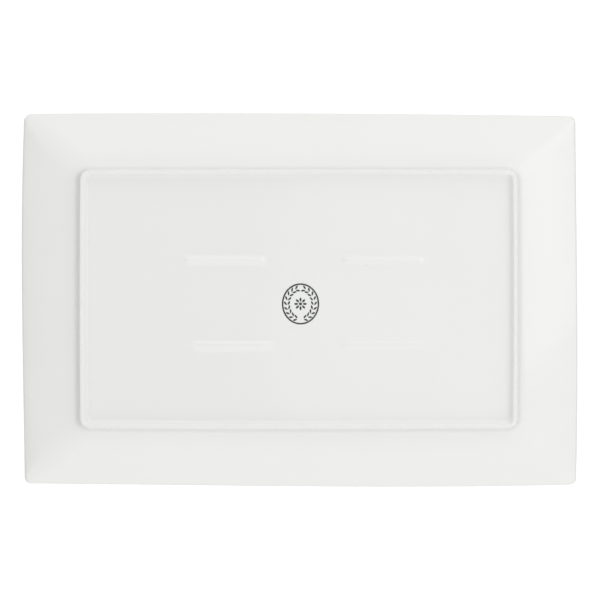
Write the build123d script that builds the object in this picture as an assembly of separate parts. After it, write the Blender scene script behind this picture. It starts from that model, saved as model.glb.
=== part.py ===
"""Rectangular china serving platter: a flat well, a wide flared rim with mitred
corners, a moulded foot ring with anti-sag bars inside it, and a printed mark.

Frame: millimetres, +Z up with the food side up, +X along the length.
The origin is the centre of the plane that the foot ring rests on.
"""

import os
from math import atan2, cos, degrees, hypot, pi, radians, sin, tan

from build123d import *

# Outline of the lip, measured at the crowns of its slightly bowed sides
LENGTH = 360.0
WIDTH = 241.0
HEIGHT = 25.0
OUTLINE_CORNER = 4.0
END_BOW = 1.4  # how far each short side bows out past its corners
SIDE_BOW = 1.0  # how far each long side bows out past its corners

# Lip
LIP_FACE = 4.0  # height of the outer face before it is rounded
LIP_TOP = 2.6  # width of the top band before it is rounded
LIP_ROUND = 1.8
LIP_INNER_ROUND = 2.4
LIP_INNER_CORNER = 2.5

# Rim: its level reach from the middle of the foot's crest out to the lip
RIM_REACH_END = 43.1
RIM_REACH_SIDE = 40.1
RIM_FLARE = 0.25  # 0 is a straight slope, and more turns it up towards the lip

# Foot ring
FOOT_CORNER = 4.5  # along the middle of its crest
FOOT_BOW = 0.4
FOOT_HEIGHT = 5.6  # from the table to where the rim's underside starts
FOOT_OUTER_FILLET = 6.5
CREST_WIDTH = 2.4  # before its two arrises are rounded
CREST_ROUND = 1.1
OUTER_DRAFT = 22.0  # degrees off vertical
INNER_DRAFT = 30.0

# Recessed panel inside the foot ring
PANEL_RECESS = 3.2
PANEL_CORNER = 3.0
PANEL_FILLET = 2.0

# Well, on the food side
WELL_THICKNESS = 5.0
WELL_INSET = 1.2  # how far its crease lies inside the middle of the foot's crest
WELL_CORNER = 7.0
WELL_FILLET = 9.0

# Anti-sag bars on the panel, which keep the well flat in the kiln
BAR_LENGTH = 51.0
BAR_WIDTH = 5.0
BAR_HEIGHT = 0.7
BAR_FILLET = 3.0
BAR_CENTRES = [(-46.8, -24.8), (53.3, -24.8), (-42.1, 29.0), (53.3, 29.0)]

# Printed mark: an oval line round a wreath of leaves and a rosette
INK_THICKNESS = 0.1
MARK_X = 1.2
MARK_Y = 3.0
MARK_WIDTH = 23.6
MARK_DEPTH = 26.0
MARK_LINE = 0.95

WREATH_CLEARANCE = 0.5  # between the oval line and the tips of the leaves
WREATH_TIP_GAP = 0.33  # between the two branches' inner leaves where they meet
WREATH_STEM_GAP = 14.0  # degrees left open on each side between the two stems
LEAF_LENGTH = 2.9
LEAF_WIDTH = 1.1
LEAF_GAP = 0.3  # the least between neighbouring leaves on a branch's inner side
LEAF_LEAN = 34.0  # degrees that each leaf leans away from its branch
LEAF_STANDOFF = 0.3  # from the middle of the branch to a leaf's root

ROSETTE_CLEARANCE = 2.4  # between the wreath's inner leaf tips and the petals
PETALS = 8
PETAL_WIDTH = 1.3
PETAL_GAP = 0.45  # between the eye and a petal's root
EYE_RADIUS = 0.95


def bowed_rectangle(length, width, corner, end_bow, side_bow, z):
    """A level face with four slightly bowed sides and rounded corners."""
    x, y = length / 2, width / 2
    corner_x, corner_y = x - end_bow, y - side_bow
    right = ThreePointArc((corner_x, -corner_y), (x, 0), (corner_x, corner_y))
    back = ThreePointArc((corner_x, corner_y), (0, y), (-corner_x, corner_y))
    left = ThreePointArc((-corner_x, corner_y), (-x, 0), (-corner_x, -corner_y))
    front = ThreePointArc((-corner_x, -corner_y), (0, -y), (corner_x, -corner_y))
    sharp = make_face([right, back, left, front])
    return Pos(0, 0, z) * fillet(sharp.vertices(), corner)


def foot_section(offset, corner, z):
    """The foot's plan, moved outwards by offset from the middle of its crest."""
    length = LENGTH - 2 * RIM_REACH_END + 2 * offset
    width = WIDTH - 2 * RIM_REACH_SIDE + 2 * offset
    return bowed_rectangle(length, width, corner, FOOT_BOW, FOOT_BOW, z)


def rim_section(share, offset, inset, corners, heights):
    """A section of the rim, a share of the way from the foot out to the lip.

    It starts offset outside the middle of the crest and ends inset short of the
    outline. corners and heights are pairs: at the foot, then at the lip.
    """

    def between(start, end, at=share):
        return start + (end - start) * at

    climb = share * (1 - RIM_FLARE) + share**2 * RIM_FLARE
    return bowed_rectangle(
        between(LENGTH - 2 * RIM_REACH_END + 2 * offset, LENGTH - 2 * inset),
        between(WIDTH - 2 * RIM_REACH_SIDE + 2 * offset, WIDTH - 2 * inset),
        between(*corners),
        between(FOOT_BOW, END_BOW),
        between(FOOT_BOW, SIDE_BOW),
        between(*heights, at=climb),
    )


def rim_loft(offset, inset, corners, heights):
    """The rim's slope as a solid, from the foot out to the lip."""
    return loft([rim_section(s, offset, inset, corners, heights) for s in (0, 0.5, 1)])


def round_loop(shape, radius, x, z, y=0.0):
    """Round the smooth loop of edges that has an edge centred on x, y, z."""
    centre = Vector(x, y, z)
    edge = shape.edges().sort_by(lambda e: (e @ 0.5 - centre).length)[0]
    return fillet(edge, radius)


def outside():
    """Everything within the outer surface: foot, rim and lip, with no hollows."""
    spread = CREST_WIDTH / 2 + FOOT_HEIGHT * tan(radians(OUTER_DRAFT))
    lip_low = HEIGHT - LIP_FACE
    crest = foot_section(CREST_WIDTH / 2, FOOT_CORNER + CREST_WIDTH / 2, 0)
    base = foot_section(spread, FOOT_CORNER + spread, FOOT_HEIGHT)
    corners = (FOOT_CORNER + spread, OUTLINE_CORNER)
    rim = rim_loft(spread, 0, corners, (FOOT_HEIGHT, lip_low))
    outline = bowed_rectangle(LENGTH, WIDTH, OUTLINE_CORNER, END_BOW, SIDE_BOW, lip_low)
    form = loft([crest, base], ruled=True) + rim + extrude(outline, LIP_FACE, dir=(0, 0, 1))
    form = round_loop(form, FOOT_OUTER_FILLET, LENGTH / 2 - RIM_REACH_END + spread, FOOT_HEIGHT)
    return round_loop(form, LIP_ROUND, LENGTH / 2, lip_low)


def food_side():
    """The hollow above the well and the rim."""
    well = PANEL_RECESS + WELL_THICKNESS
    corners = (WELL_CORNER, LIP_INNER_CORNER)
    hollow = rim_loft(-WELL_INSET, LIP_TOP, corners, (well, HEIGHT))
    return round_loop(hollow, WELL_FILLET, LENGTH / 2 - RIM_REACH_END - WELL_INSET, well)


def panel_pocket():
    """The shallow recess inside the foot ring."""
    at_mouth = -CREST_WIDTH / 2
    at_panel = at_mouth - PANEL_RECESS * tan(radians(INNER_DRAFT))
    mouth = foot_section(at_mouth, PANEL_CORNER, 0)
    panel = foot_section(at_panel, PANEL_CORNER, PANEL_RECESS)
    pocket = loft([mouth, panel], ruled=True)
    return round_loop(pocket, PANEL_FILLET, LENGTH / 2 - RIM_REACH_END + at_panel, PANEL_RECESS)


def anti_sag_bar(x, y):
    """A low round-backed bar: a long capsule sunk in the panel, cut off inside the well's wall."""
    half_width = BAR_WIDTH / 2
    radius = hypot(half_width, BAR_HEIGHT) ** 2 / (2 * BAR_HEIGHT)
    reach = BAR_LENGTH / 2 - half_width
    z = PANEL_RECESS - BAR_HEIGHT + radius
    bar = Pos(x, y, z) * Rot(0, 90, 0) * Cylinder(radius, 2 * reach)
    for side in (-1, 1):
        bar += Pos(x + side * reach, y, z) * Sphere(radius)
    return bar & Pos(x, y, PANEL_RECESS) * Box(2 * (reach + radius), 2 * radius, WELL_THICKNESS)


def platter_body():
    """The one-piece porcelain body."""
    crest_x = LENGTH / 2 - RIM_REACH_END
    lip_round = min(LIP_ROUND, 0.7 * LIP_TOP)
    inner_round = min(LIP_INNER_ROUND, 3 * (LIP_TOP - lip_round))
    body = outside() - food_side() - panel_pocket()
    body = round_loop(body, lip_round, LENGTH / 2, HEIGHT)
    body = round_loop(body, inner_round, LENGTH / 2 - LIP_TOP, HEIGHT)
    body = round_loop(body, CREST_ROUND, crest_x + CREST_WIDTH / 2, 0)
    body = round_loop(body, CREST_ROUND, crest_x - CREST_WIDTH / 2, 0)
    for x, y in BAR_CENTRES:
        body += anti_sag_bar(x, y)
        body = round_loop(body, BAR_FILLET, x, PANEL_RECESS, y=y + BAR_WIDTH / 2)
    return body


def printed(*faces):
    """Faces drawn about the mark's centre, as ink lying on the panel."""
    place = Pos(MARK_X, MARK_Y, PANEL_RECESS - INK_THICKNESS)
    return Compound([extrude(place * face, INK_THICKNESS, dir=(0, 0, 1)) for face in faces])


def leaf_shape(length, width):
    """A pointed oval from the origin along +X."""
    tip = (length, 0)
    return make_face(
        [
            ThreePointArc((0, 0), (length / 2, width / 2), tip),
            ThreePointArc(tip, (length / 2, -width / 2), (0, 0)),
        ]
    )


def leaf_reach():
    """How far a leaf's tip stands off the middle of its branch."""
    return LEAF_STANDOFF + LEAF_LENGTH * sin(radians(LEAF_LEAN))


def branch_radii():
    """The half sizes, along X and Y, of the oval that the branches follow."""
    inset = MARK_LINE + WREATH_CLEARANCE + leaf_reach()
    return MARK_WIDTH / 2 - inset, MARK_DEPTH / 2 - inset


def backstamp_ring():
    """The oval line round the mark."""
    half_width, half_depth = MARK_WIDTH / 2, MARK_DEPTH / 2
    return printed(
        make_face(Ellipse(half_width, half_depth).edges())
        - make_face(Ellipse(half_width - MARK_LINE, half_depth - MARK_LINE).edges())
    )


def leaf_place(branch, side, turn):
    """Where a leaf roots, on one side of its branch, at a turn round the oval from the stems."""
    radius_x, radius_y = branch_radii()
    place = Pos(branch * radius_x * sin(turn), radius_y * cos(turn))
    heading = degrees(atan2(-radius_y * sin(turn), branch * radius_x * cos(turn)))
    return place * Rot(0, 0, heading) * Pos(0, side * LEAF_STANDOFF) * Rot(0, 0, side * LEAF_LEAN)


def branch_leaf(branch, side, turn):
    """One leaf, grown from its place."""
    return leaf_place(branch, side, turn) * leaf_shape(LEAF_LENGTH, LEAF_WIDTH)


def branch_end():
    """The turn at which a branch's inner leaf stops half of WREATH_TIP_GAP short of the middle."""
    low, high = pi / 2, pi
    for _ in range(40):
        turn = (low + high) / 2
        tip = (leaf_place(1, -1, turn) * Pos(LEAF_LENGTH, 0)).position.X
        low, high = (turn, high) if tip > WREATH_TIP_GAP / 2 else (low, turn)
    return low


def branch_turns():
    """Where the leaf pairs grow: evenly, and as many as keep LEAF_GAP on a branch's inner side."""
    start, end = radians(WREATH_STEM_GAP), branch_end()
    most = int((end - start) * max(branch_radii()) / LEAF_WIDTH)
    for steps in range(most, 0, -1):
        turns = [start + (end - start) * i / steps for i in range(steps + 1)]
        inner = [branch_leaf(1, -1, turn) for turn in turns]
        if min(a.distance_to(b) for a, b in zip(inner, inner[1:])) >= LEAF_GAP:
            break
    return turns


def backstamp_wreath():
    """Two branches of leaf pairs that start at the stems, at +Y, and meet at -Y."""
    turns = branch_turns()
    return printed(
        *[branch_leaf(branch, side, turn) for branch in (-1, 1) for turn in turns for side in (-1, 1)]
    )


def backstamp_rosette():
    """A ring of petals round an eye, in the middle of the mark."""
    start = EYE_RADIUS + PETAL_GAP
    end = min(branch_radii()) - leaf_reach() - ROSETTE_CLEARANCE
    petal = Pos(start, 0) * leaf_shape(end - start, PETAL_WIDTH)
    petals = [Rot(0, 0, 360 / PETALS * i) * petal for i in range(PETALS)]
    return printed(make_face(Circle(EYE_RADIUS).edges()), *petals)


if __name__ == "__main__":
    os.makedirs("parts", exist_ok=True)
    for build in (platter_body, backstamp_ring, backstamp_wreath, backstamp_rosette):
        export_step(build(), f"parts/{build.__name__}.step")
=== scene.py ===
"""China serving platter: the glazed porcelain body, its printed mark and a plain studio.

Everything is in metres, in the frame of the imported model: +Z up with the food side up, +X along
the length, and the foot ring standing on z = 0. The camera looks up at the underside.
"""

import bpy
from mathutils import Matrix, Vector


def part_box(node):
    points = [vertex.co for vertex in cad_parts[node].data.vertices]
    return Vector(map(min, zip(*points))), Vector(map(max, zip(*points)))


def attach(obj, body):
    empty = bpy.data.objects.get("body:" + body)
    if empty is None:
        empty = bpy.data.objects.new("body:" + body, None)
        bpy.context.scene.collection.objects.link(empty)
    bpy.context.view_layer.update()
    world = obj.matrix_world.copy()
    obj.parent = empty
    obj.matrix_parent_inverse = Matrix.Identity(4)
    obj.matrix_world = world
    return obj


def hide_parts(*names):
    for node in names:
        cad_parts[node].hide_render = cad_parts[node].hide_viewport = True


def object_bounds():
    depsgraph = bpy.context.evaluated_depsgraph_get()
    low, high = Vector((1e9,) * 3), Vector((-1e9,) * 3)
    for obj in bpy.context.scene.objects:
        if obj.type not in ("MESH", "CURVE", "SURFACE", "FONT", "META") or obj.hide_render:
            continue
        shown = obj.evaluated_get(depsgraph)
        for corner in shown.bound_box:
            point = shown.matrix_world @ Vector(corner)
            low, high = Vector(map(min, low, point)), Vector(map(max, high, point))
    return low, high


bl_info = {
    "name": "China Serving Platter",
    "version": (1, 0, 0),
    "blender": (4, 5, 0),
    "location": "View3D > Sidebar > Platter",
    "description": "Builds a glazed porcelain serving platter, its printed mark and a studio",
    "category": "Add Mesh",
}

from math import pi, radians, tan

import bpy
import numpy as np
from bpy.props import FloatProperty, FloatVectorProperty, PointerProperty

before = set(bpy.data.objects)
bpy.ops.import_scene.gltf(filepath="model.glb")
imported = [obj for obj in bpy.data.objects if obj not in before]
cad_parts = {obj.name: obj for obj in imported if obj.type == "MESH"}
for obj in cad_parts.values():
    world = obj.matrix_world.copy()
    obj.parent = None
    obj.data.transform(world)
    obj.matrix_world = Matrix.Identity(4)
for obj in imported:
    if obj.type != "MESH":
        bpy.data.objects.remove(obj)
CAD_BOX = [list(corner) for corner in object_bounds()]
MM = 0.001

# The underside panel is where the printed mark's back face lies
PANEL_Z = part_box("backstamp_ring")[1].z

# How the firing has pulled the rim's corners, in mm
CORNER_DRIFT = {
    (-1, -1): (1.0, -0.19),
    (1, -1): (-0.17, 1.2),
    (1, 1): (0.27, 0.7),
    (-1, 1): (1.33, -0.10),
}

# How far the middle of each side bows out past its corners, in mm, and how its crown leans
# along the side: the low and the high end of X, then of Y
END_BOWS = ((1.65, -0.58), (1.0, 0.6))
SIDE_BOWS = ((1.1, -0.2), (1.5, 0.6))
FOOT_BOW = 0.4

# How far the foot ring's walls lean off upright
OUTER_DRAFT, INNER_DRAFT = radians(22), radians(30)

# Roundings of the section: the panel's edge, the lip's inner edge, and the well's edge
PANEL_FILLET, LIP_INNER_ROUND, WELL_FILLET = 2.0 * MM, 2.4 * MM, 9.0 * MM

# How far inside the middle of the foot's crest the well's wall starts
WELL_INSET = 1.2 * MM

# Plan radii of the corners of the panel, of the well and of the lip's inner edge
PANEL_CORNER, WELL_CORNER, LIP_INNER_CORNER = 3.0 * MM, 7.0 * MM, 2.5 * MM

# The straight part of the rim stops short of its roundings: a share of their radius underneath,
# and plain lengths at the well and at the lip on top
FOOT_ROOM, LIP_ROOM = 0.52, 0.7
WELL_ROOM_OVER, LIP_ROOM_OVER = 2.2 * MM, 1.0 * MM

# How far the flat middles' first row lies inside their rounded edges
EDGE_ROW = 4 * MM

# Spacing of the columns round the platter, and how far the closer ones reach round a bar
COARSE_STEP, FINE_REACH = 3.2 * MM, 3.6 * MM
FINE_STEP_X, FINE_STEP_Y = 0.5 * MM, 0.35 * MM
CORNER_POINTS = 6

# Anti-sag bars: the middle of each one on the panel, and how much of its height the mould gave it
BARS = [(-46.8, -24.8, 1.0), (53.3, -24.8, 1.0), (-42.1, 29.0, 0.7), (53.3, 29.0, 0.35)]

# Iron specks that show in the glaze: place in mm, radius in mm, and depth of tone
SPECKS = [
    ((42.9, -21.3, 3.2), 0.45, 0.5),
    ((162.4, -39.5, 13.3), 0.45, 0.35),
    ((36.9, 29.0, 2.3), 0.35, 0.4),
]

# Slow unevenness of the body: wavelengths in mm along X and Y, a phase, and a height in mm
SWELLS = [
    (310, 900, 0.4, 0.16),
    (-210, 260, 1.9, 0.10),
    (150, -190, 3.1, 0.05),
    (95, 130, 5.2, 0.025),
    (-120, 75, 0.9, 0.02),
]


# ---------------------------------------------------------------------------
# Properties
# ---------------------------------------------------------------------------


class PlatterShape(bpy.types.PropertyGroup):
    """Sizes of the porcelain body."""

    rim_reach_end: FloatProperty(
        name="Rim reach, ends",
        description="Level reach of the rim at the short ends, from the middle of the foot's crest",
        default=43.1 * MM,
        unit="LENGTH",
    )
    rim_reach_side: FloatProperty(
        name="Rim reach, sides",
        description="Level reach of the rim at the long sides, from the middle of the foot's crest",
        default=40.1 * MM,
        unit="LENGTH",
    )
    rim_flare: FloatProperty(
        name="Rim flare",
        description="How much the rim turns up towards the lip; 0 is a straight slope",
        default=0.25,
        subtype="FACTOR",
        min=0,
        max=1,
    )
    outline_corner: FloatProperty(
        name="Corner radius",
        description="Plan radius of the outer corners",
        default=4.0 * MM,
        unit="LENGTH",
    )
    lip_face: FloatProperty(
        name="Lip face",
        description="Height of the lip's outer face before it is rounded",
        default=4.0 * MM,
        unit="LENGTH",
    )
    lip_top: FloatProperty(
        name="Lip top",
        description="Width of the lip's top band before it is rounded",
        default=2.6 * MM,
        unit="LENGTH",
    )
    lip_round_ends: FloatProperty(
        name="Lip rounding, ends",
        description="Radius from the rim's underside to the lip's outer face at the short ends",
        default=3.2 * MM,
        unit="LENGTH",
    )
    lip_round_sides: FloatProperty(
        name="Lip rounding, sides",
        description="Radius from the rim's underside to the lip's outer face at the long sides",
        default=1.4 * MM,
        unit="LENGTH",
    )
    lip_round_over: FloatProperty(
        name="Lip rounding, over",
        description="Radius from the lip's outer face to its top",
        default=1.8 * MM,
        unit="LENGTH",
    )
    foot_corner: FloatProperty(
        name="Foot corner",
        description="Plan radius of the foot ring's corners, along its crest",
        default=4.5 * MM,
        unit="LENGTH",
    )
    corner_swell: FloatProperty(
        name="Corner softening",
        description="How much rounder the rim's corners are halfway up than at the foot and lip",
        default=6.0 * MM,
        unit="LENGTH",
    )
    foot_height: FloatProperty(
        name="Foot height",
        description="Height of the foot ring's outer wall",
        default=5.6 * MM,
        unit="LENGTH",
    )
    foot_fillet: FloatProperty(
        name="Foot fillet",
        description="Radius of the hollow between the foot ring's outer wall and the rim",
        default=6.5 * MM,
        unit="LENGTH",
    )
    crest_width: FloatProperty(
        name="Crest width",
        description="Width of the foot ring's crest before it is rounded",
        default=2.4 * MM,
        unit="LENGTH",
    )
    crest_round: FloatProperty(
        name="Crest rounding",
        description="Radius of the crest's two edges",
        default=1.1 * MM,
        unit="LENGTH",
    )
    well_thickness: FloatProperty(
        name="Well thickness",
        description="Thickness of the flat well",
        default=5.0 * MM,
        unit="LENGTH",
    )
    bar_length: FloatProperty(
        name="Bar length",
        description="Length of each anti-sag bar under the well",
        default=51.0 * MM,
        unit="LENGTH",
    )
    bar_width: FloatProperty(
        name="Bar width",
        description="Width of each anti-sag bar",
        default=5.0 * MM,
        unit="LENGTH",
    )
    bar_height: FloatProperty(
        name="Bar height",
        description="How far each anti-sag bar stands off the panel",
        default=0.95 * MM,
        unit="LENGTH",
    )
    bar_fillet: FloatProperty(
        name="Bar fillet",
        description="Radius of the hollow between an anti-sag bar and the panel",
        default=2.2 * MM,
        unit="LENGTH",
    )


class PlatterFinish(bpy.types.PropertyGroup):
    """Colours and gloss of the glaze, the bare crest and the ink."""

    glaze_colour: FloatVectorProperty(
        name="Glaze",
        description="White of the porcelain seen through the clear glaze",
        subtype="COLOR",
        size=3,
        min=0,
        max=1,
        default=(0.829, 0.831, 0.816),
    )
    glaze_roughness: FloatProperty(
        name="Glaze roughness",
        description="Roughness of the clear glaze",
        default=0.1,
        subtype="FACTOR",
        min=0,
        max=1,
    )
    bisque_colour: FloatVectorProperty(
        name="Bare crest",
        description="Unglazed porcelain on the crest of the foot ring",
        subtype="COLOR",
        size=3,
        min=0,
        max=1,
        default=(0.812, 0.811, 0.792),
    )
    speck_colour: FloatVectorProperty(
        name="Specks",
        description="Rare iron specks in the glaze",
        subtype="COLOR",
        size=3,
        min=0,
        max=1,
        default=(0.30, 0.27, 0.23),
    )
    ink_colour: FloatVectorProperty(
        name="Ink",
        description="The printed mark",
        subtype="COLOR",
        size=3,
        min=0,
        max=1,
        default=(0.040, 0.052, 0.044),
    )


class PlatterStudio(bpy.types.PropertyGroup):
    """The studio's brightness, where 1 is a white card."""

    floor_colour: FloatVectorProperty(
        name="Floor",
        description="Pale floor under the platter",
        subtype="COLOR",
        size=3,
        min=0,
        max=1,
        default=(0.70, 0.70, 0.695),
    )
    room_below: FloatProperty(
        name="Room, below",
        description="Brightness of the room under the floor's level",
        default=0.964,
        min=0,
    )
    room_above: FloatProperty(
        name="Room, above",
        description="Brightness of the room over the floor's level",
        default=0.5,
        min=0,
    )
    overhead: FloatProperty(
        name="Overhead panel",
        description="Brightness of the white panel over the platter",
        default=1.06,
        min=0,
    )
    focal_length: FloatProperty(
        name="Focal length",
        description="Focal length of the camera, in millimetres",
        default=85.0,
        unit="CAMERA",
    )
    camera_distance: FloatProperty(
        name="Camera distance",
        description="From the camera to the plane that the foot stands on",
        default=0.8931,
        unit="LENGTH",
    )


# ---------------------------------------------------------------------------
# The body's surface
# ---------------------------------------------------------------------------


def rounded_corner(corner, before, after, radius, count):
    """Points of the arc that rounds a corner between two directions.

    The arc leaves the first line radius * tan(turn / 2) short of the corner. Each point is the
    arc's centre plus the first point's offset from it, turned by an equal share of the turn.
    """
    corner, before, after = (np.asarray(v, float) for v in (corner, before, after))
    before, after = before / np.linalg.norm(before), after / np.linalg.norm(after)
    turn = np.arctan2(before[0] * after[1] - before[1] * after[0], before @ after)
    start = corner - before * radius * tan(abs(turn) / 2)
    centre = start + np.sign(turn) * radius * np.array([-before[1], before[0]])
    angles = np.linspace(0, turn, count)
    offset = start - centre
    return centre + np.stack(
        [
            offset[0] * np.cos(angles) - offset[1] * np.sin(angles),
            offset[0] * np.sin(angles) + offset[1] * np.cos(angles),
        ],
        axis=1,
    )


def rim_slope(foot, lip, flare, foot_room, lip_room):
    """Points up the rim, and its direction at the foot and at the lip.

    Level reach grows evenly with the share s, and height as s (1 - flare) + s^2 flare. Room is
    left at both ends for the roundings that meet the rim.
    """
    foot, lip = np.asarray(foot, float), np.asarray(lip, float)
    run, rise = lip - foot
    share = np.linspace(foot_room / abs(run), 1 - lip_room / abs(run), 30)
    height = share * (1 - flare) + share**2 * flare
    points = np.stack([foot[0] + run * share, foot[1] + rise * height], axis=1)
    return points, np.array([run, rise * (1 - flare)]), np.array([run, rise * (1 + flare)])


def wall_section(shape, crest, edge, height, lip_round):
    """The wall's section as level reach and height, from the panel out, round the lip and back in.

    crest and edge are the reaches of the middle of the foot's crest and of the lip. lip_round is
    the radius from the rim's underside to the lip's outer face.
    """
    half_crest = shape.crest_width / 2
    outer_lean, inner_lean = tan(OUTER_DRAFT), tan(INNER_DRAFT)
    well = PANEL_Z + shape.well_thickness
    panel_edge = (crest - half_crest - PANEL_Z * inner_lean, PANEL_Z)
    foot_base = (crest + half_crest + shape.foot_height * outer_lean, shape.foot_height)
    lip_low = (edge, height - shape.lip_face)
    lip_inside = (edge - shape.lip_top, height)
    crease = (crest - WELL_INSET, well)
    under, under_foot, under_lip = rim_slope(
        foot_base, lip_low, shape.rim_flare, shape.foot_fillet * FOOT_ROOM, lip_round * LIP_ROOM
    )
    over, over_foot, over_lip = rim_slope(
        crease, lip_inside, shape.rim_flare, WELL_ROOM_OVER, LIP_ROOM_OVER
    )
    down, up = (inner_lean, -1), (outer_lean, 1)
    out, back, rise = (1, 0), (-1, 0), (0, 1)
    return np.concatenate(
        [
            [(panel_edge[0] - EDGE_ROW, PANEL_Z)],
            rounded_corner(panel_edge, out, down, PANEL_FILLET, 9),
            rounded_corner((crest - half_crest, 0), down, out, shape.crest_round, 8),
            rounded_corner((crest + half_crest, 0), out, up, shape.crest_round, 8),
            rounded_corner(foot_base, up, under_foot, shape.foot_fillet, 14),
            under,
            rounded_corner(lip_low, under_lip, rise, lip_round, 11),
            rounded_corner((edge, height), rise, back, shape.lip_round_over, 10),
            rounded_corner(lip_inside, back, -over_lip, LIP_INNER_ROUND, 6),
            over[::-1],
            rounded_corner(crease, -over_foot, back, WELL_FILLET, 8),
            [(crease[0] - EDGE_ROW, well)],
        ]
    )


def side_stations(length, fine_spots, fine_reach, fine_step, coarse_step):
    """Stations along a side, from -1 to 1: evenly spaced, and closer together round some spots."""
    spans = [np.arange(-length, length + coarse_step / 2, coarse_step)]
    for spot in fine_spots:
        near = np.arange(-fine_reach, fine_reach + fine_step / 2, fine_step)
        spans[0] = spans[0][abs(spans[0] - spot) > fine_reach + fine_step / 2]
        spans.append(spot + near)
    stations = np.unique(np.round(np.concatenate(spans), 6))
    gaps = np.diff(stations, prepend=stations[0] - 1)
    stations = stations[gaps > fine_step / 2]
    stations = stations[abs(stations) < length - fine_step]
    return np.concatenate([[-1.0], stations / length, [1.0]])


def loop_template(along_x, along_y, per_corner):
    """Where each point of a loop sits: its place on the loop's inner rectangle, and its normal.

    A rounded rectangle is an inner rectangle moved out along its normals by the corner radius.
    The loop runs anticlockwise in four sides, each from the middle of one corner to the next.
    """
    sides = []
    for quarter, stations in enumerate((along_y, along_x, along_y, along_x)):
        swing = np.linspace(0, pi / 4, per_corner + 1)
        lead, tail = np.full(per_corner, -1.0), np.full(per_corner, 1.0)
        place = np.concatenate([lead, stations, tail])
        angle = np.concatenate([-swing[:0:-1], np.zeros(len(stations)), swing[1:]])
        turn = quarter * pi / 2
        c, s = np.cos(turn), np.sin(turn)
        core = np.stack([c - s * place, s + c * place], axis=1)
        normal = np.stack([np.cos(angle + turn), np.sin(angle + turn)], axis=1)
        sides.append(np.concatenate([core, normal], axis=1)[:-1])
    counts = [len(side) for side in sides]
    return np.concatenate(sides), counts


def swell(x, y):
    """Slow unevenness of height: the sum of the SWELLS, each a cosine wave across the platter."""
    total = np.zeros_like(x)
    for wave_x, wave_y, phase, depth in SWELLS:
        total += depth * MM * np.cos(2 * pi * (x / MM / wave_x + y / MM / wave_y) + phase)
    return total


def bar_relief(x, y, shape):
    """How far the anti-sag bars stand off the panel at each point.

    Across a bar the back is an arc through its crest and its two edges, and a small hollow arc
    that touches both the back and the panel fills its foot. Round its ends it is turned.
    """
    fillet = shape.bar_fillet
    radius = ((shape.bar_width / 2) ** 2 + shape.bar_height**2) / (2 * shape.bar_height)
    sunk = radius - shape.bar_height
    foot = np.sqrt((radius + fillet) ** 2 - (fillet + sunk) ** 2)
    touch = foot * radius / (radius + fillet)
    relief = np.zeros_like(x)
    for middle_x, middle_y, share in BARS:
        past_end = np.maximum(
            abs(x - middle_x * MM) - (shape.bar_length - shape.bar_width) / 2, 0
        )
        away = np.hypot(past_end, y - middle_y * MM)
        back = np.sqrt(np.maximum(radius**2 - away**2, 0)) - sunk
        hollow = fillet - np.sqrt(np.maximum(fillet**2 - (foot - away) ** 2, 0))
        bar = np.where(away < touch, back, np.where(away < foot, hollow, 0))
        relief = np.maximum(relief, share * bar)
    return relief


def side_bow(core, bows, share):
    """The bow and the lean of its crown, going from the foot's even bow to each side's own.

    The side is the one whose sign the place on the inner rectangle has.
    """
    low, high = bows
    bow = np.where(core < 0, low[0], high[0]) * share + FOOT_BOW * (1 - share)
    lean = np.where(core < 0, low[1], high[1]) * share
    return bow * MM, lean


def pulled(x, y, z, share, half_length, half_width):
    """Moves points as the firing has: the rim drifts by its share of the way out to the lip.

    The drift is the four corners' drifts, each weighted by how near its corner a point is.
    """
    u, v = np.clip(x / half_length, -1, 1), np.clip(y / half_width, -1, 1)
    drift_x, drift_y = np.zeros_like(x), np.zeros_like(y)
    for (sign_x, sign_y), (dx, dy) in CORNER_DRIFT.items():
        weight = (1 + sign_x * u) * (1 + sign_y * v) / 4
        drift_x += weight * dx * MM
        drift_y += weight * dy * MM
    return x + share * drift_x, y + share * drift_y, z + share * swell(x, y)


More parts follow.
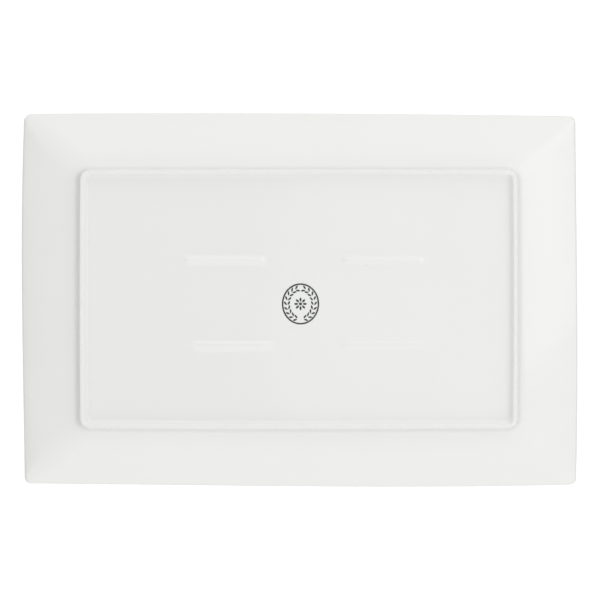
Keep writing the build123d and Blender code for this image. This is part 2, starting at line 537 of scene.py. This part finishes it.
def body_surface(shape):
    """Vertices and faces of the porcelain body, one closed surface.

    Each point of the wall's section is carried round a rounded rectangle of its own half sizes
    and corner radius. The two flat middles are filled by blending their loop's opposite sides.
    """
    half_length, half_width, height = CAD_BOX[1]
    crest_x, crest_y = half_length - shape.rim_reach_end, half_width - shape.rim_reach_side
    end = wall_section(shape, crest_x, half_length, height, shape.lip_round_ends)
    side = wall_section(shape, crest_y, half_width, height, shape.lip_round_sides)
    reach = end[:, 0] - crest_x
    spread = shape.crest_width / 2 + shape.foot_height * tan(OUTER_DRAFT)
    rim_share = np.clip((reach - spread) / (shape.rim_reach_end - spread), 0, 1)

    # Corner radius of each loop, under the platter and then over it
    turn = int(np.argmax(end[:, 0]))
    softer = shape.corner_swell * 4 * rim_share * (1 - rim_share)
    under = np.interp(
        reach,
        [-shape.crest_width / 2, spread, shape.rim_reach_end],
        [PANEL_CORNER, shape.foot_corner + spread, shape.outline_corner],
    )
    over = np.interp(
        reach,
        [-WELL_INSET, shape.rim_reach_end - shape.lip_top, shape.rim_reach_end],
        [WELL_CORNER, LIP_INNER_CORNER, shape.outline_corner],
    )
    radius = np.where(np.arange(len(end)) <= turn, under, over) + softer

    # Loops: rows go along the section, and columns round the platter
    bar_ends = [
        x * MM + sign * (shape.bar_length - shape.bar_width) / 2 + sign * shape.bar_width / 4
        for x, _, _ in BARS
        for sign in (-1, 1)
    ]
    bar_rows = sorted({y * MM for _, y, _ in BARS})
    panel = end[0, 0] - radius[0], side[0, 0] - radius[0]
    along_x = side_stations(panel[0], sorted(bar_ends), FINE_REACH, FINE_STEP_X, COARSE_STEP)
    along_y = side_stations(panel[1], bar_rows, FINE_REACH, FINE_STEP_Y, COARSE_STEP)
    template, counts = loop_template(along_x, along_y, CORNER_POINTS)
    core_x, core_y, normal_x, normal_y = template.T
    bow_x, lean_x = side_bow(core_x, END_BOWS, rim_share[:, None])
    bow_y, lean_y = side_bow(core_y, SIDE_BOWS, rim_share[:, None])
    flat_x = end[:, :1] - bow_x
    flat_y = side[:, :1] - bow_y
    x = core_x * (flat_x - radius[:, None]) + normal_x * radius[:, None]
    y = core_y * (flat_y - radius[:, None]) + normal_y * radius[:, None]
    u, v = x / flat_x, y / flat_y
    x = x + u * bow_x * (1 - v**2) * (1 + lean_x * v)
    y = y + v * bow_y * (1 - u**2) * (1 + lean_y * u)
    z = end[:, 1:] * (1 - normal_y**2) + side[:, 1:] * normal_y**2
    x, y, z = pulled(x, y, z, rim_share[:, None], half_length, half_width)
    loops = np.stack([x, y, z], axis=2)

    rings, around = x.shape
    index = np.arange(rings * around).reshape(rings, around)
    onward = np.roll(index, -1, axis=1)
    quads = [
        np.stack([index[:-1], onward[:-1], onward[1:], index[1:]], axis=2).reshape(-1, 4)
    ]
    verts = [loops.reshape(-1, 3)]
    made = rings * around
    for row, faces_down in ((0, True), (rings - 1, False)):
        points, grid = middle_patch(loops[row], index[row], counts, made)
        if faces_down:
            points[:, 2] -= bar_relief(points[:, 0], points[:, 1], shape)
        a, b, c, d = grid[:-1, :-1], grid[:-1, 1:], grid[1:, 1:], grid[1:, :-1]
        order = (a, b, c, d) if faces_down else (a, d, c, b)
        quads.append(np.stack(order, axis=2).reshape(-1, 4))
        verts.append(points)
        made += len(points)
    return np.concatenate(verts), np.concatenate(quads)


def middle_patch(loop, loop_index, counts, first):
    """Fills a loop with a grid: new points, and the index of every grid point.

    A point is the blend across of the left and right sides, plus the blend along of the front and
    back sides, less the blend of the four corners.
    """
    stops = np.cumsum([0, *counts])
    ids = np.concatenate([loop_index, loop_index[:1]])
    at = np.concatenate([loop, loop[:1]])
    right, back, left, front = (slice(stops[i], stops[i + 1] + 1) for i in range(4))
    front_p, back_p = at[front], at[back][::-1]
    left_p, right_p = at[left][::-1], at[right]
    u = (front_p[:, 0] - front_p[0, 0]) / (front_p[-1, 0] - front_p[0, 0])
    v = (left_p[:, 1] - left_p[0, 1]) / (left_p[-1, 1] - left_p[0, 1])
    u, v = u[:, None, None], v[None, :, None]
    across = (1 - u) * left_p[None] + u * right_p[None]
    along = (1 - v) * front_p[:, None] + v * back_p[:, None]
    corners = (1 - u) * ((1 - v) * front_p[0] + v * back_p[0]) + u * (
        (1 - v) * front_p[-1] + v * back_p[-1]
    )
    points = across + along - corners
    grid = np.zeros(points.shape[:2], int)
    grid[:, 0], grid[:, -1] = ids[front], ids[back][::-1]
    grid[0, :], grid[-1, :] = ids[left][::-1], ids[right]
    inner = points[1:-1, 1:-1]
    grid[1:-1, 1:-1] = first + np.arange(inner.shape[0] * inner.shape[1]).reshape(
        inner.shape[:2]
    )
    return inner.reshape(-1, 3).copy(), grid


def mesh_object(name, verts, quads, material):
    """A smooth-shaded mesh object at the origin, from arrays of points and of four-sided faces."""
    mesh = bpy.data.meshes.new(name)
    mesh.from_pydata(verts.tolist(), [], quads.tolist())
    mesh.shade_smooth()
    mesh.materials.append(material)
    mesh.update()
    obj = bpy.data.objects.new(name, mesh)
    bpy.context.scene.collection.objects.link(obj)
    return obj


# ---------------------------------------------------------------------------
# Materials
# ---------------------------------------------------------------------------


def new_material(name):
    """An empty node material with its shader wired up, and a helper that adds and links nodes."""
    material = bpy.data.materials.new(name)
    material.use_nodes = True
    nodes, links = material.node_tree.nodes, material.node_tree.links
    nodes.clear()
    output = nodes.new("ShaderNodeOutputMaterial")
    shader = nodes.new("ShaderNodeBsdfPrincipled")
    links.new(shader.outputs["BSDF"], output.inputs["Surface"])

    def add(kind, inputs=None, **settings):
        node = nodes.new(kind)
        for key, value in settings.items():
            setattr(node, key, value)
        for key, value in (inputs or {}).items():
            if isinstance(value, bpy.types.NodeSocket):
                links.new(value, node.inputs[key])
            else:
                node.inputs[key].default_value = value
        return node

    return material, shader, add, links


def mix_colour(add, factor, first, second):
    """A colour mix node's result, from the first colour at factor 0 to the second at 1."""
    node = add("ShaderNodeMix", data_type="RGBA")
    for socket, value in zip((0, 6, 7), (factor, first, second)):
        if isinstance(value, bpy.types.NodeSocket):
            node.id_data.links.new(value, node.inputs[socket])
        else:
            node.inputs[socket].default_value = value
    return node.outputs[2]


def glazed_porcelain(finish):
    """White porcelain under a clear glaze, bare and matt along the crest of the foot.

    The white drifts a little over the platter, each speck darkens it within its own radius, and
    the glaze has a slow ripple. The foot's crest, lowest of all, is unglazed, with fine grain.
    """
    material, shader, add, links = new_material("glazed porcelain")
    place = add("ShaderNodeTexCoord").outputs["Object"]

    def noise(scale, detail, roughness=0.5):
        node = add(
            "ShaderNodeTexNoise",
            {"Vector": place, "Scale": scale, "Detail": detail, "Roughness": roughness},
        )
        return node.outputs["Fac"]

    def ramp(value, low, high, out_low=0.0, out_high=1.0, smooth=True):
        node = add(
            "ShaderNodeMapRange",
            {
                "Value": value,
                "From Min": low,
                "From Max": high,
                "To Min": out_low,
                "To Max": out_high,
            },
            interpolation_type="SMOOTHSTEP" if smooth else "LINEAR",
        )
        return node.outputs["Result"]

    glaze = (*finish.glaze_colour, 1)
    warmer = tuple(c * k for c, k in zip(finish.glaze_colour, (0.995, 0.991, 0.983))) + (1,)
    white = mix_colour(add, ramp(noise(14, 3), 0.42, 0.68), glaze, warmer)

    for spot, size, depth in SPECKS:
        away = add(
            "ShaderNodeVectorMath", {0: place, 1: tuple(v * MM for v in spot)}, operation="DISTANCE"
        )
        dot = ramp(away.outputs["Value"], size * 0.4 * MM, size * MM, depth, 0.0)
        white = mix_colour(add, dot, white, (*finish.speck_colour, 1))

    height = add("ShaderNodeSeparateXYZ", {"Vector": place}).outputs["Z"]
    ragged = add("ShaderNodeMath", {0: noise(260, 2), 1: 0.00022}, operation="MULTIPLY").outputs[0]
    edge = add("ShaderNodeMath", {0: height, 1: ragged}, operation="SUBTRACT").outputs[0]
    bare = ramp(edge, 0.00004, 0.00016, 1.0, 0.0)
    grain = noise(1500, 3, 0.65)
    bisque = mix_colour(
        add,
        ramp(noise(420, 4, 0.6), 0.45, 0.75),
        (*finish.bisque_colour, 1),
        tuple(c * 0.96 for c in finish.bisque_colour) + (1,),
    )
    links.new(mix_colour(add, bare, white, bisque), shader.inputs["Base Color"])

    gloss = ramp(
        noise(30, 4, 0.6), 0.3, 0.75, finish.glaze_roughness * 0.75, finish.glaze_roughness * 1.35
    )
    rough = add("ShaderNodeMix", {0: bare, 2: gloss, 3: 0.6}, data_type="FLOAT")
    links.new(rough.outputs[0], shader.inputs["Roughness"])

    ripple = add("ShaderNodeBump", {"Height": noise(26, 2), "Strength": 1.0, "Distance": 0.00022})
    peel = add(
        "ShaderNodeBump",
        {
            "Height": noise(330, 2),
            "Strength": 1.0,
            "Distance": 0.0000035,
            "Normal": ripple.outputs[0],
        },
    )
    gritty = add("ShaderNodeMath", {0: grain, 1: bare}, operation="MULTIPLY").outputs[0]
    grit = add(
        "ShaderNodeBump",
        {"Height": gritty, "Strength": 1.0, "Distance": 0.000012, "Normal": peel.outputs[0]},
    )
    links.new(grit.outputs[0], shader.inputs["Normal"])
    shader.inputs["IOR"].default_value = 1.5
    return material


def fired_ink(finish):
    """Green-black ink fired on, a little uneven in depth and in gloss."""
    material, shader, add, links = new_material("fired ink")
    place = add("ShaderNodeTexCoord").outputs["Object"]
    fine = add("ShaderNodeTexNoise", {"Vector": place, "Scale": 2600.0, "Detail": 3.0})
    slow = add("ShaderNodeTexNoise", {"Vector": place, "Scale": 240.0, "Detail": 2.0})
    worn = add(
        "ShaderNodeMapRange",
        {
            "Value": fine.outputs["Fac"],
            "From Min": 0.45,
            "From Max": 0.8,
            "To Min": 0.0,
            "To Max": 0.55,
        },
    )
    pale = tuple(c * 2.2 + 0.02 for c in finish.ink_colour) + (1,)
    ink = mix_colour(add, worn.outputs[0], (*finish.ink_colour, 1), pale)
    links.new(ink, shader.inputs["Base Color"])
    gloss = add(
        "ShaderNodeMapRange",
        {
            "Value": slow.outputs["Fac"],
            "From Min": 0.3,
            "From Max": 0.7,
            "To Min": 0.25,
            "To Max": 0.42,
        },
    )
    links.new(gloss.outputs[0], shader.inputs["Roughness"])
    bump = add("ShaderNodeBump", {"Height": fine.outputs["Fac"], "Distance": 0.00001})
    links.new(bump.outputs[0], shader.inputs["Normal"])
    return material


def one_way_floor(colour):
    """A pale matt floor from above that lets the camera and the light through from below."""
    material = bpy.data.materials.new("one-way floor")
    material.use_nodes = True
    nodes, links = material.node_tree.nodes, material.node_tree.links
    nodes.clear()
    output = nodes.new("ShaderNodeOutputMaterial")
    mix = nodes.new("ShaderNodeMixShader")
    matt = nodes.new("ShaderNodeBsdfDiffuse")
    clear = nodes.new("ShaderNodeBsdfTransparent")
    facing = nodes.new("ShaderNodeNewGeometry")
    matt.inputs["Color"].default_value = (*colour, 1)
    links.new(facing.outputs["Backfacing"], mix.inputs[0])
    links.new(matt.outputs[0], mix.inputs[1])
    links.new(clear.outputs[0], mix.inputs[2])
    links.new(mix.outputs[0], output.inputs["Surface"])
    return material


def glowing(name, brightness):
    """A panel that glows evenly; 1 is a white card."""
    material = bpy.data.materials.new(name)
    material.use_nodes = True
    nodes, links = material.node_tree.nodes, material.node_tree.links
    nodes.clear()
    output = nodes.new("ShaderNodeOutputMaterial")
    glow = nodes.new("ShaderNodeEmission")
    glow.inputs["Strength"].default_value = brightness
    links.new(glow.outputs[0], output.inputs["Surface"])
    return material


def two_level_room(below, above):
    """A world of even light, with one brightness under the floor's level and one over it."""
    world = bpy.data.worlds.new("room")
    world.use_nodes = True
    nodes, links = world.node_tree.nodes, world.node_tree.links
    background = nodes["Background"]
    background.inputs["Color"].default_value = (1, 1, 1, 1)
    direction = nodes.new("ShaderNodeSeparateXYZ")
    links.new(nodes.new("ShaderNodeTexCoord").outputs["Generated"], direction.inputs[0])
    level = nodes.new("ShaderNodeMapRange")
    links.new(direction.outputs["Z"], level.inputs["Value"])
    levels = {"From Min": -0.06, "From Max": -0.005, "To Min": below, "To Max": above}
    for key, value in levels.items():
        level.inputs[key].default_value = value
    links.new(level.outputs["Result"], background.inputs["Strength"])
    return world


# ---------------------------------------------------------------------------
# Studio
# ---------------------------------------------------------------------------

# Softboxes: name, place, width and height in metres, and how much brighter than the room
# each one is, where 1 is a white card. The first eight light the underside.
SOFTBOXES = [
    ("key under", (1.072, -0.35, -0.90), (0.95, 0.8), 0.72),
    ("near under", (0.525, 0.0, -0.909), (0.8, 0.3), 0.36),
    ("left under", (-1.593, 0.0, -1.035), (2.4, 0.5), 0.193),
    ("bar light", (0.0, -0.795, -1.272), (1.2, 0.5), 0.18),
    ("front under", (0.0, -1.645, -0.95), (2.0, 0.8), 0.235),
    ("front low", (0.0, -1.877, -0.297), (2.0, 0.5), 0.735),
    ("back under", (0.0, 1.645, -0.95), (2.0, 0.8), 0.311),
    ("back low", (0.0, 1.877, -0.297), (2.0, 0.5), 0.675),
    ("key over", (-8.8, -8.0, 9.2), (8.0, 8.0), 5.2),
    ("back over", (8.0, 10.4, 7.2), (9.6, 6.4), 0.8),
]

# The floor lies a hair under the foot, so that the two never share a plane
FLOOR_SIZE, FLOOR_Z = 40, -0.2 * MM

# The white panel over the platter
OVERHEAD_SIZE, OVERHEAD_Z = 13.6, 12.8

# Where the camera stands along X and Y
CAMERA_AT = (0.00087, 0.00052)

# Grey cards that keep some of the room's light off: name, lowest corner, highest corner,
# brightness. The first five are under the floor.
CARDS = [
    ("left card", (-1.807, -1.2, -0.825), (-1.807, 1.2, -0.36), 0.10),
    ("low left card", (-1.88, -1.2, -0.36), (-1.88, 1.2, -0.01), 0.46),
    ("right card", (1.8, -1.0, -0.94), (1.8, 1.0, -0.48), 0.78),
    ("lens card, left", (-0.62, -0.4, -1.9), (-0.03, 0.4, -1.9), 0.02),
    ("lens card, right", (-0.03, -0.4, -1.9), (0.55, 0.4, -1.9), 0.48),
    ("left side card", (-5.7, -3.6, 0.03), (-5.7, 3.6, 2.4), 0.05),
    ("right side card", (5.7, -3.6, 0.03), (5.7, 3.6, 2.4), 0.2),
]


def card_corners(low, high):
    """The four corners of an upright or a level card, round from its lowest corner."""
    if low[2] == high[2]:
        middle = [(high[0], low[1], low[2]), high, (low[0], high[1], low[2])]
    else:
        middle = [(low[0], high[1], low[2]), high, (low[0], low[1], high[2])]
    return np.array([low, *middle])


def plane(name, size_x, size_y, z, material):
    """A level rectangle about the Z axis, which faces up."""
    x, y = size_x / 2, size_y / 2
    verts = np.array([(-x, -y, z), (x, -y, z), (x, y, z), (-x, y, z)])
    obj = mesh_object(name, verts, np.array([[0, 1, 2, 3]]), material)
    return obj


def softbox(name, place, size, brightness):
    """An area light aimed at the platter. Its power is brightness times pi times its area."""
    light = bpy.data.lights.new(name, "AREA")
    light.shape = "RECTANGLE"
    light.size, light.size_y = size
    light.energy = brightness * pi * size[0] * size[1]
    obj = bpy.data.objects.new(name, light)
    obj.location = place
    obj.rotation_mode = "QUATERNION"
    obj.rotation_quaternion = (-obj.location).to_track_quat("-Z", "Y")
    obj.visible_camera = False
    bpy.context.scene.collection.objects.link(obj)
    return obj


# ---------------------------------------------------------------------------
# Operators
# ---------------------------------------------------------------------------


class PLATTER_OT_body(bpy.types.Operator):
    """Build the porcelain body with its glaze"""

    bl_idname = "platter.body"
    bl_label = "Porcelain body"
    bl_options = {"REGISTER", "UNDO"}

    def execute(self, context):
        scene = context.scene
        verts, quads = body_surface(scene.platter_shape)
        body = mesh_object(
            "porcelain_body", verts, quads, glazed_porcelain(scene.platter_finish)
        )
        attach(body, "root")
        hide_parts("platter_body")
        return {"FINISHED"}


class PLATTER_OT_mark(bpy.types.Operator):
    """Give the printed mark its fired ink"""

    bl_idname = "platter.mark"
    bl_label = "Printed mark"
    bl_options = {"REGISTER", "UNDO"}

    def execute(self, context):
        ink = fired_ink(context.scene.platter_finish)
        for name in ("backstamp_ring", "backstamp_wreath", "backstamp_rosette"):
            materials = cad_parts[name].data.materials
            materials.clear()
            materials.append(ink)
        return {"FINISHED"}


class PLATTER_OT_studio(bpy.types.Operator):
    """Set up the floor, the overhead panel, the softboxes and the camera"""

    bl_idname = "platter.studio"
    bl_label = "Studio"
    bl_options = {"REGISTER", "UNDO"}

    def execute(self, context):
        scene, studio = context.scene, context.scene.platter_studio
        floor = plane("floor", FLOOR_SIZE, FLOOR_SIZE, FLOOR_Z, one_way_floor(studio.floor_colour))
        floor.visible_shadow = False
        floor.visible_diffuse = False
        floor.visible_glossy = False
        white = glowing("overhead panel", studio.overhead)
        plane("overhead panel", OVERHEAD_SIZE, OVERHEAD_SIZE, OVERHEAD_Z, white)
        for setting in SOFTBOXES:
            softbox(*setting)

        for name, low, high, brightness in CARDS:
            card = mesh_object(
                name, card_corners(low, high), np.array([[0, 1, 2, 3]]), glowing(name, brightness)
            )
            card.visible_camera = False
            card.visible_shadow = False
        scene.world = two_level_room(studio.room_below, studio.room_above)

        lens = bpy.data.cameras.new("camera")
        lens.lens = studio.focal_length
        lens.sensor_width = 36
        lens.clip_start, lens.clip_end = 0.01, 100
        camera = bpy.data.objects.new("camera", lens)
        camera.location = (*CAMERA_AT, -studio.camera_distance)
        camera.rotation_euler = (pi, 0, 0)
        scene.collection.objects.link(camera)
        scene.camera = camera

        scene.view_settings.view_transform = "Standard"
        scene.view_settings.look = "None"
        return {"FINISHED"}


class PLATTER_PT_sidebar(bpy.types.Panel):
    """Lists the platter's sizes, finishes and builders"""

    bl_label = "China Serving Platter"
    bl_idname = "PLATTER_PT_sidebar"
    bl_space_type = "VIEW_3D"
    bl_region_type = "UI"
    bl_category = "Platter"

    def draw(self, context):
        scene, column = context.scene, self.layout.column()
        for group in (scene.platter_shape, scene.platter_finish, scene.platter_studio):
            column.separator()
            for name in group.__annotations__:
                column.prop(group, name)
        for operator in (PLATTER_OT_body, PLATTER_OT_mark, PLATTER_OT_studio):
            column.operator(operator.bl_idname)


CLASSES = (
    PlatterShape,
    PlatterFinish,
    PlatterStudio,
    PLATTER_OT_body,
    PLATTER_OT_mark,
    PLATTER_OT_studio,
    PLATTER_PT_sidebar,
)


def register():
    """Registers the classes and hangs the three groups of settings on the scene."""
    for cls in CLASSES:
        bpy.utils.register_class(cls)
    bpy.types.Scene.platter_shape = PointerProperty(type=PlatterShape)
    bpy.types.Scene.platter_finish = PointerProperty(type=PlatterFinish)
    bpy.types.Scene.platter_studio = PointerProperty(type=PlatterStudio)


def unregister():
    """Takes away what register added, in the opposite order."""
    del bpy.types.Scene.platter_studio
    del bpy.types.Scene.platter_finish
    del bpy.types.Scene.platter_shape
    for cls in reversed(CLASSES):
        bpy.utils.unregister_class(cls)


def main():
    """Builds the body, the mark and the studio."""
    register()
    bpy.ops.platter.body()
    bpy.ops.platter.mark()
    bpy.ops.platter.studio()


if __name__ == "__main__":
    main()
